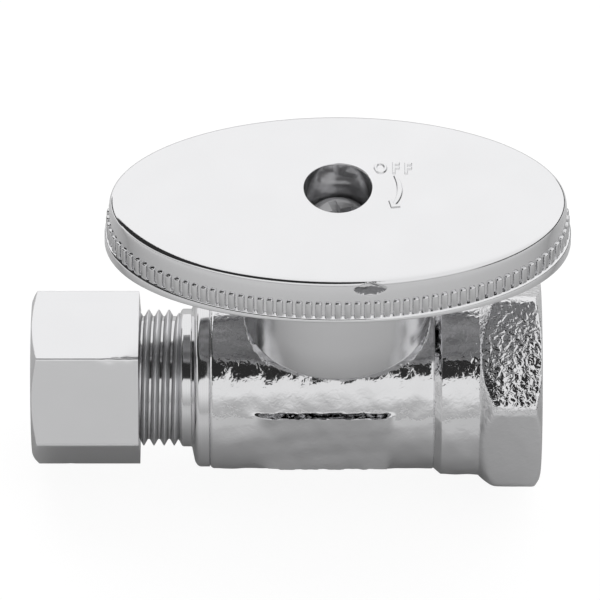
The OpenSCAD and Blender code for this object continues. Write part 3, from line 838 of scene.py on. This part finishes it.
class VALVE_OT_handle(bpy.types.Operator):
    """Build the oval handle with its crown, channel, skirt, hub and screw well"""
    bl_idname = "valve.handle"
    bl_label = "Handle"

    def execute(self, context):
        sizes = context.scene.valve_handle
        self.a, self.b = sizes.length / MM / 2, sizes.width / MM / 2
        even = np.linspace(0, 2 * math.pi, 480, endpoint=False)
        at_knock = np.radians(np.linspace(271.1, 285.4, 64))
        self.turn = np.unique(np.concatenate([even, at_knock]).round(5))
        low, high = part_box("handle")
        self.rise, self.crown = sizes.crown_rise / MM, high.z / MM + CROWN_LIFT
        well, skirt, foot = sizes.well_radius / MM, sizes.skirt_radius / MM, low.z / MM
        edge_z = self.crown - self.rise
        # Hollow, hub and screw hole: heights of their faces, then radii.
        ceiling, core_top, hub_foot, seat, well_floor = 24.37, 21.37, 17.87, 20.97, 21.97
        core, hub, drive, hole = 8.0, 5.0, 3.15, 1.9
        rings = self.top(well, edge_z)
        # Rounded lip, then the hollow under the crown: inset from the oval and z.
        for step in np.radians(np.linspace(80, -60, 10)):
            rings.append(self.oval(0.3 - 0.27 * math.cos(step), 21.84 + 0.26 * math.sin(step)))
        for offset, z in ((0.3, LIP_Z), (1.5, LIP_Z), (1.6, LIP_Z + 0.1), (1.6, ceiling - 0.17),
                          (1.7, ceiling)):
            rings.append(self.oval(offset, z))
        under, top_skirt = self.oval(1.7, ceiling), self.round(skirt + 0.25, ceiling)
        rings += [under * (1 - f) + top_skirt * f for f in np.linspace(0, 1, 8)[1:]]
        # Skirt, hub and the bottom of the well: radius and z.
        for r, z in ((skirt + 0.07, ceiling - 0.07), (skirt, ceiling - 0.27), (skirt, 22.5),
                     (skirt, 18.0), (skirt, 14.0), (skirt, foot + 0.4),
                     (skirt - 0.06, foot + 0.14), (skirt - 0.2, foot), (core + 0.15, foot),
                     (core, foot + 0.15), (core, core_top - 0.1), (core - 0.1, core_top),
                     (hub + 0.1, core_top), (hub, core_top - 0.1), (hub, hub_foot + 0.13),
                     (hub - 0.15, hub_foot), (drive + 0.2, hub_foot), (drive, hub_foot + 0.18),
                     (drive, seat), (hole, seat), (hole, well_floor), (well - 0.1, well_floor),
                     (well, well_floor + 0.1), (well, 25.0)):
            rings.append(self.round(r, z))
        rings = self.dent(self.droop(np.array(rings), sizes.rim_arch / MM), edge_z)
        piece = make_object("handle_shell", grid_mesh("handle_shell", rings))
        with edited(piece.data) as work:
            for rib in STOP_RIBS:
                work.from_mesh(sector_mesh("rib", *rib))
        dress(piece, finish_for("cast_chrome"), "handle", "chrome_handle", "handle")
        for finish in HANDLE_FINISHES:
            piece.data.materials.append(finish_for(finish))
        for face in piece.data.polygons:
            point = face.center / MM
            out = math.hypot(point.x - STEM_X, point.y)
            # Faces that look down under the crown take the darker plate: painted shade.
            if face.normal.z < -0.7 and point.z > 20:
                face.material_index = UNDERSIDE
            elif self.knocked(point, edge_z):
                face.material_index = KNOCK
            elif point.z > 21.5 and out < well:
                face.material_index = WELL
            elif point.z < 24.2 and abs(out - skirt) < 0.15:
                face.material_index = SKIRT
        return {"FINISHED"}

    def top(self, well, edge_z):
        """Rings from the rim of the well over the crown and its rounded edge to the reeds."""
        rings = []
        for step in np.linspace(0, math.pi / 2, 6):
            ring = self.lifted(self.round(well + 0.16 * (1 - math.cos(step)), 0))
            ring[:, 2] -= 0.16 * (1 - math.sin(step))
            rings.append(ring)
        inner, edge = rings[-1].copy(), self.oval(2.6, 0)
        rings += [self.lifted(inner * (1 - f) + edge * f) for f in np.linspace(0, 1, 30)[1:]]
        shoulder = rounded_path([
            (CROWN_INSET, edge_z, 0), (0.66, edge_z - 0.1, 0), (0.58, edge_z - 0.85, 0),
            (0.5, 24.7, 0.9), (0.5, 22.2, 0)], closed=False, steps=7,
            longest=lambda x, z: 0.1 if z > 25.4 else 0.5)
        rim = [self.lifted(self.oval(inset, 0)) for inset in np.arange(2.5, 1.2, -0.1)]
        rim += [self.oval(offset, z) for offset, z in shoulder[1:]]
        return rings + list(self.soften(np.array(rim), 85))

    def lifted(self, ring):
        """Lifts a ring onto the crown."""
        a, b = self.a - CROWN_INSET, self.b - CROWN_INSET
        ring[:, 2] = self.crown - self.rise * ((ring[:, 0] / a) ** 2 + (ring[:, 1] / b) ** 2)
        return ring

    def oval(self, inset, z):
        """A ring inside the oval rim at a constant distance."""
        c, s = np.cos(self.turn), np.sin(self.turn)
        n = np.sqrt((self.b * c) ** 2 + (self.a * s) ** 2)
        return np.stack([self.a * c - inset * self.b * c / n, self.b * s - inset * self.a * s / n,
                         np.full_like(c, z)], axis=-1)

    def round(self, radius, z):
        """A round ring about the stem axis."""
        return np.stack([radius * np.cos(self.turn), radius * np.sin(self.turn),
                         np.full_like(self.turn, z)], axis=-1)

    @staticmethod
    def soften(rings, times):
        """Rounds the corner between neighbouring rings."""
        for _ in range(times):
            rings[1:-1] = (rings[:-2] + 2 * rings[1:-1] + rings[2:]) / 4
        return rings

    def droop(self, rings, arch):
        """Lowers the lip of the rim towards its two ends."""
        x, y, z = np.moveaxis(rings, -1, 0)
        lip = (np.abs(z - LIP_Z) < 0.3) & (np.hypot(x, y) > 10.2)
        z -= lip * arch * (x / self.a) ** 2
        return rings

    def knocked(self, point, z):
        """True where the plate is knocked off the front edge of the crown."""
        along, up = (point.x - STEM_X - KNOCK_X) / 1.65, (point.z - z + 0.95) / 0.66
        inside = abs(along) ** 1.4 + up ** 2 < 1 and up < 0.3 - 0.35 * along
        return inside and point.y < -self.b * 0.75

    def dent(self, rings, z):
        """Moves the rings to the stem axis and dents the front edge of the crown."""
        rings[:, :, 0] += STEM_X
        along = (rings[:, :, 0] - STEM_X - KNOCK_X) / 1.75
        up = (rings[:, :, 2] - z + 0.9) / 0.75
        front = rings[:, :, 1] < -self.b * 0.75
        ripple = 1 + 0.35 * np.sin(5 * along + 3 * up) * ease(-0.2, 0.3, up)
        deep = np.maximum(1 - np.abs(along) ** 1.4 - up ** 2, 0.0) ** 0.6
        rings[:, :, 1] += 0.32 * ripple * deep * front
        return rings


class VALVE_OT_handle_reeds(bpy.types.Operator):
    """Set the reeds at equal distances round the rim"""
    bl_idname = "valve.handle_reeds"
    bl_label = "Handle Reeds"

    def execute(self, context):
        sizes = context.scene.valve_handle
        # A darker copy of the handle chrome: painted shade on the reeds.
        chrome = finish_for("reed_chrome")
        depth, tall, inset, height = 0.0004, 0.00218, 0.00024, 0.02308
        corner, rounding = 0.00022, 0.00015
        mesh = bpy.data.meshes.new("reed")
        with edited(mesh) as work:
            bmesh.ops.create_cube(work, size=1.0)
            bmesh.ops.scale(work, vec=(sizes.reed_width, depth, tall), verts=work.verts)
            across = [e for e in work.edges
                      if abs(e.verts[0].co.y - e.verts[1].co.y) > depth / 2]
            bmesh.ops.bevel(work, geom=across, offset=corner, segments=3, profile=0.5,
                            affect="EDGES")
            rim = [e for e in work.edges if max(v.co.y for v in e.verts) < -depth * 0.4]
            bmesh.ops.bevel(work, geom=rim, offset=rounding, segments=2, profile=0.5,
                            affect="EDGES")
        sunk = depth / 2 + inset
        reeds = grow("handle_reeds", reed_tree(), mesh, {
            "Reed Count": sizes.reed_count, "Material": chrome,
            "Half Sizes": (sizes.length / 2 - sunk, sizes.width / 2 - sunk, 1.0),
            "Centre": (STEM_X * MM, 0.0, height)})
        dress(reeds, chrome, "handle", "chrome_handle", sharp=50)
        return {"FINISHED"}


class VALVE_OT_handle_marks(bpy.types.Operator):
    """Raise the word OFF and its arrow on the crown"""
    bl_idname = "valve.handle_marks"
    bl_label = "Handle Marks"

    def execute(self, context):
        sizes = context.scene.valve_handle
        chrome = finish_for("mark_chrome")
        word_x, word_y = 0.0056, 0.00276
        word = make_object("off_word", self.word(context, sizes))
        self.lay(word, sizes, word_x, word_y)
        dress(word, chrome, "handle", "chrome_handle")
        arrow = make_object("off_arrow", self.arrow(sizes.mark_rise, sizes.mark_slope))
        self.lay(arrow, sizes, 0.0, 0.0)
        dress(arrow, chrome, "handle", "chrome_handle")
        return {"FINISHED"}

    @staticmethod
    def word(context, sizes):
        """The word as a flat mesh with sloping sides."""
        words = bpy.data.curves.new("off_word", "FONT")
        words.body = "OFF"
        words.align_x, words.align_y = "CENTER", "CENTER"
        words.size = sizes.mark_size
        words.space_character = 1.6
        words.offset = 0.00002
        words.bevel_depth = sizes.mark_slope
        words.bevel_resolution = 0
        words.resolution_u = 10
        source = make_object("off_source", words)
        context.view_layer.update()
        graph = context.evaluated_depsgraph_get()
        mesh = bpy.data.meshes.new_from_object(source.evaluated_get(graph))
        bpy.data.objects.remove(source)
        narrow = 0.74
        mesh.transform(Matrix.Diagonal((narrow, 1, sizes.mark_rise / sizes.mark_slope, 1)))
        return mesh

    @staticmethod
    def lay(piece, sizes, x, y):
        """Drops a flat piece onto the crown."""
        a, b = sizes.length / 2 - CROWN_INSET * MM, sizes.width / 2 - CROWN_INSET * MM
        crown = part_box("handle")[1].z + CROWN_LIFT * MM
        for vert in piece.data.vertices:
            flat = vert.co.x + x, vert.co.y + y
            fall = sizes.crown_rise * ((flat[0] / a) ** 2 + (flat[1] / b) ** 2)
            vert.co = (flat[0] + STEM_X * MM, flat[1], vert.co.z + crown - fall)
        face_out(piece.data, weld=1e-7)

    @staticmethod
    def arrow(rise, slope):
        """A curved arrow that points clockwise round the well."""
        turn = np.radians(np.linspace(29, -33, 15))
        middle, radius = Vector((0.00229, -0.00029)), 0.004
        side = [Vector((math.cos(t), math.sin(t))) for t in turn]
        points = [middle + n * radius for n in side]
        half = [0.00006 + 0.00016 * math.sin(math.pi * k / 14) ** 0.7 for k in range(15)]
        end, out = points[-1], side[-1]
        ahead = Vector((out.y, -out.x))
        shaft = [p + n * h for p, n, h in zip(points[:-1], side, half)]
        back = [p - n * h for p, n, h in zip(points[:-1], side, half)]
        head = [end + out * 0.00012 - ahead * 0.0001, end + out * 0.0005 - ahead * 0.0004,
                end + out * 0.00066 - ahead * 0.0002, end + ahead * 0.0004]
        mirrored = [p - 2 * out * (p - end).dot(out) for p in head[-2::-1]]
        outline = shaft + head + mirrored + back[::-1]
        count = len(outline)
        mesh = bpy.data.meshes.new("off_arrow")
        with edited(mesh) as work:
            foot, lid = [], []
            for i, point in enumerate(outline):
                chord = outline[(i + 1) % count] - outline[i - 1]
                away = Vector((-chord.y, chord.x)).normalized() * slope
                foot.append(work.verts.new((point.x + away.x, point.y + away.y, -rise / 3)))
                lid.append(work.verts.new((point.x, point.y, rise)))
            for i in range(count):
                j = (i + 1) % count
                work.faces.new((foot[i], foot[j], lid[j], lid[i]))
            bmesh.ops.triangulate(work, faces=[work.faces.new(foot), work.faces.new(lid)])
        return mesh


class VALVE_OT_handle_screw(bpy.types.Operator):
    """Build the pan head screw with its cross recess"""
    bl_idname = "valve.handle_screw"
    bl_label = "Handle Screw"

    def execute(self, context):
        low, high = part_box("handle_screw")
        tip, top = low.z / MM, high.z / MM
        shank, head, seat = 1.7, 3.35, top - 2.1
        profile = rounded_path([
            (NEAR_AXIS, tip, 0), (shank - 0.5, tip, 0.1), (shank, tip + 0.6, 0.1),
            (shank, seat - 0.02, 0.05), (head, seat, 0.1), (head, seat + 0.95, 0.9),
            (2.3, top - 0.08, 0.8), (NEAR_AXIS, top, 0)], closed=False, steps=6)
        screw = make_object("screw_shell", lathe_z("screw_shell", profile, around=64))
        for turned in (20, 110):
            combine(screw, self.recess(top, math.radians(turned)), "DIFFERENCE")
        dress(screw, finish_for("zinc_steel"), "handle", "steel", "handle_screw")
        return {"FINISHED"}

    @staticmethod
    def recess(top, turned):
        """One tapered arm of the cross recess."""
        mesh = bpy.data.meshes.new("recess")
        with edited(mesh) as work:
            bmesh.ops.create_cube(work, size=2.0)
            for vert in work.verts:
                deep = vert.co.z < 0
                vert.co.x *= 0.9 if deep else 1.95
                vert.co.y *= 0.26 if deep else 0.45
                vert.co.z = top - 1.35 if deep else top + 0.1
            bmesh.ops.transform(work, matrix=Matrix.Rotation(turned, 4, "Z"), verts=work.verts)
            bmesh.ops.translate(work, vec=(STEM_X, 0, 0), verts=work.verts)
            bmesh.ops.scale(work, vec=(MM, MM, MM), verts=work.verts)
        return mesh


class VALVE_OT_inner_parts(bpy.types.Operator):
    """Give the inner parts their finishes"""
    bl_idname = "valve.inner_parts"
    bl_label = "Inner Parts"

    def execute(self, context):
        for finish, nodes in INNER_FINISHES.items():
            for node in nodes:
                for slot in frame["nodes"][node].material_slots:
                    slot.material = finish_for(finish)
        return {"FINISHED"}


class VALVE_OT_stage(bpy.types.Operator):
    """Lay the floor, light the scene and place the camera"""
    bl_idname = "valve.stage"
    bl_label = "Stage"

    def execute(self, context):
        settings = context.scene.valve_stage
        context.scene.view_settings.view_transform = "Standard"
        self.floor(settings)
        self.surroundings(context.scene)
        self.lamps()
        self.camera(context.scene, settings)
        return {"FINISHED"}

    @staticmethod
    def by_camera(tree, lit, seen, output):
        """Puts out one shader for the camera and another for all other rays."""
        path = add(tree, "ShaderNodeLightPath")
        mix = add(tree, "ShaderNodeMixShader", {
            "Fac": path.outputs["Is Camera Ray"], 1: lit.outputs[0], 2: seen.outputs[0]})
        add(tree, output, {"Surface": mix.outputs[0]})

    def floor(self, settings):
        """A pale floor that the camera sees as white with a faint shadow; other rays see it with a
        painted shadow under the valve.
        """
        gap, size, shadow = 0.0006, 1.5, 0.06
        mesh = bpy.data.meshes.new("floor")
        with edited(mesh) as work:
            bmesh.ops.create_grid(work, x_segments=4, y_segments=4, size=size)
        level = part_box("valve_body")[0].z - gap
        mesh.transform(Matrix.Translation((STEM_X * MM, 0, level)))
        material, tree, place = new_material("pale_floor")
        # Painted shadow for the rays other than the camera's: darker under the valve, less so with
        # the distance from the waterway.
        away = calculate(tree, "ABSOLUTE", axes(tree, place)["Y"])
        near = calculate(tree, "POWER", remap(tree, away, from_max=shadow), 0.6)
        tone = remap(tree, near, to_min=0.54)
        plain = add(tree, "ShaderNodeBsdfDiffuse",
                    {"Color": tinted(tree, settings.floor_colour, tone)})
        white = add(tree, "ShaderNodeEmission", {"Strength": 0.9})
        thin = add(tree, "ShaderNodeBsdfDiffuse", {"Color": (0.16, 0.16, 0.16, 1.0)})
        seen = add(tree, "ShaderNodeAddShader", {0: white.outputs[0], 1: thin.outputs[0]})
        self.by_camera(tree, plain, seen, "ShaderNodeOutputMaterial")
        mesh.materials.append(material)
        make_object("floor", mesh)

    def surroundings(self, scene):
        """White studio surroundings with dark cards above the lens and at the sides."""
        world = bpy.data.worlds.new("studio")
        scene.world = world
        world.use_nodes = True
        tree = world.node_tree
        tree.nodes.clear()
        place = add(tree, "ShaderNodeTexCoord").outputs["Generated"]

        def towards(axis):
            """How far a direction points along an axis."""
            return add(tree, "ShaderNodeVectorMath", {0: place, 1: axis},
                       operation="DOT_PRODUCT").outputs["Value"]

        def stretch(axis, offset, reach):
            """Distance from the middle of a card, as a fourth power of its reach."""
            part = calculate(tree, "MULTIPLY_ADD", towards(axis), 1 / reach, -offset / reach)
            return calculate(tree, "POWER", calculate(tree, "ABSOLUTE", part), 4.0)

        def card(aim, offset, wide, high):
            """Mask of one dark card, from the direction of its middle and its half sizes."""
            aim = Vector(aim).normalized()
            side = aim.cross(Vector((0, 0, 1))).normalized()
            facing = calculate(tree, "GREATER_THAN", towards(aim), 0.0)
            total = calculate(tree, "ADD", stretch(side, offset, wide),
                              stretch(side.cross(aim), 0.0, high))
            shut = remap(tree, total, 0.82, 1.18, 1.0, 0.0, smooth=True)
            return calculate(tree, "MULTIPLY", shut, facing)

        parts = axes(tree, place)
        rise = remap(tree, parts["Z"], 0.0, 0.5, 0.5, 0.92, smooth=True)
        behind = remap(tree, parts["Y"], -0.3, 0.3, smooth=True)
        light = masked(tree, behind, rise, 1.05)
        for *shape, tone in DARK_CARDS:
            light = masked(tree, card(*shape), light, tone)
        room = add(tree, "ShaderNodeBackground", {"Color": WHITE, "Strength": light})
        white = add(tree, "ShaderNodeBackground", {"Color": WHITE, "Strength": 1.0})
        self.by_camera(tree, room, white, "ShaderNodeOutputWorld")

    @staticmethod
    def lamps():
        """One large soft lamp above and behind, and a smaller one from the right."""
        for name, place, size, power in LAMPS:
            data = bpy.data.lights.new(name, "AREA")
            data.shape = "SQUARE"
            data.size = size
            data.energy = power
            lamp = make_object(name, data)
            lamp.location = place
            lamp.visible_glossy = False
            aim = Vector((STEM_X * MM, 0, 0.01)) - Vector(place)
            lamp.rotation_euler = aim.to_track_quat("-Z", "Y").to_euler()

    @staticmethod
    def camera(scene, settings):
        """Camera square to the waterway, looking down on the handle."""
        e = settings.elevation
        middle_x, above = -0.02507, 0.0081
        target = Vector((middle_x, 0, 0)) + Vector((0, math.sin(e), math.cos(e))) * above
        data = bpy.data.cameras.new("camera")
        data.lens = settings.lens
        data.sensor_width = 36.0
        data.clip_start = 0.01
        camera = make_object("camera", data)
        camera.location = target + Vector((0, -math.cos(e), math.sin(e))) * settings.distance
        camera.rotation_euler = (target - camera.location).to_track_quat("-Z", "Y").to_euler()
        scene.camera = camera


OPERATORS = (VALVE_OT_forged_body, VALVE_OT_threads, VALVE_OT_compression_nut, VALVE_OT_handle,
             VALVE_OT_handle_reeds, VALVE_OT_handle_marks, VALVE_OT_handle_screw,
             VALVE_OT_inner_parts, VALVE_OT_stage)
SETTINGS = {"valve_forging": ForgingSizes, "valve_handle": HandleSizes, "valve_nut": NutSizes,
            "valve_finish": FinishColours, "valve_stage": StageSettings}


class VALVE_PT_panel(bpy.types.Panel):
    """Sizes, finishes and build steps of the valve."""
    bl_idname = "VALVE_PT_panel"
    bl_label = "Stop Valve"
    bl_space_type = "VIEW_3D"
    bl_region_type = "UI"
    bl_category = "Stop Valve"

    def draw(self, context):
        for name, kind in SETTINGS.items():
            box = self.layout.box()
            box.label(text=kind.__doc__)
            for key in kind.__annotations__:
                box.prop(getattr(context.scene, name), key)
        for operator in OPERATORS:
            self.layout.operator(operator.bl_idname)


def register():
    for kind in (*SETTINGS.values(), *OPERATORS, VALVE_PT_panel):
        bpy.utils.register_class(kind)
    for name, kind in SETTINGS.items():
        setattr(bpy.types.Scene, name, bpy.props.PointerProperty(type=kind))


def unregister():
    for name in SETTINGS:
        delattr(bpy.types.Scene, name)
    for kind in (VALVE_PT_panel, *reversed(OPERATORS), *reversed(SETTINGS.values())):
        bpy.utils.unregister_class(kind)


def main():
    register()
    for operator in OPERATORS:
        group, name = operator.bl_idname.split(".")
        getattr(getattr(bpy.ops, group), name)()


if __name__ == "__main__":
    main()
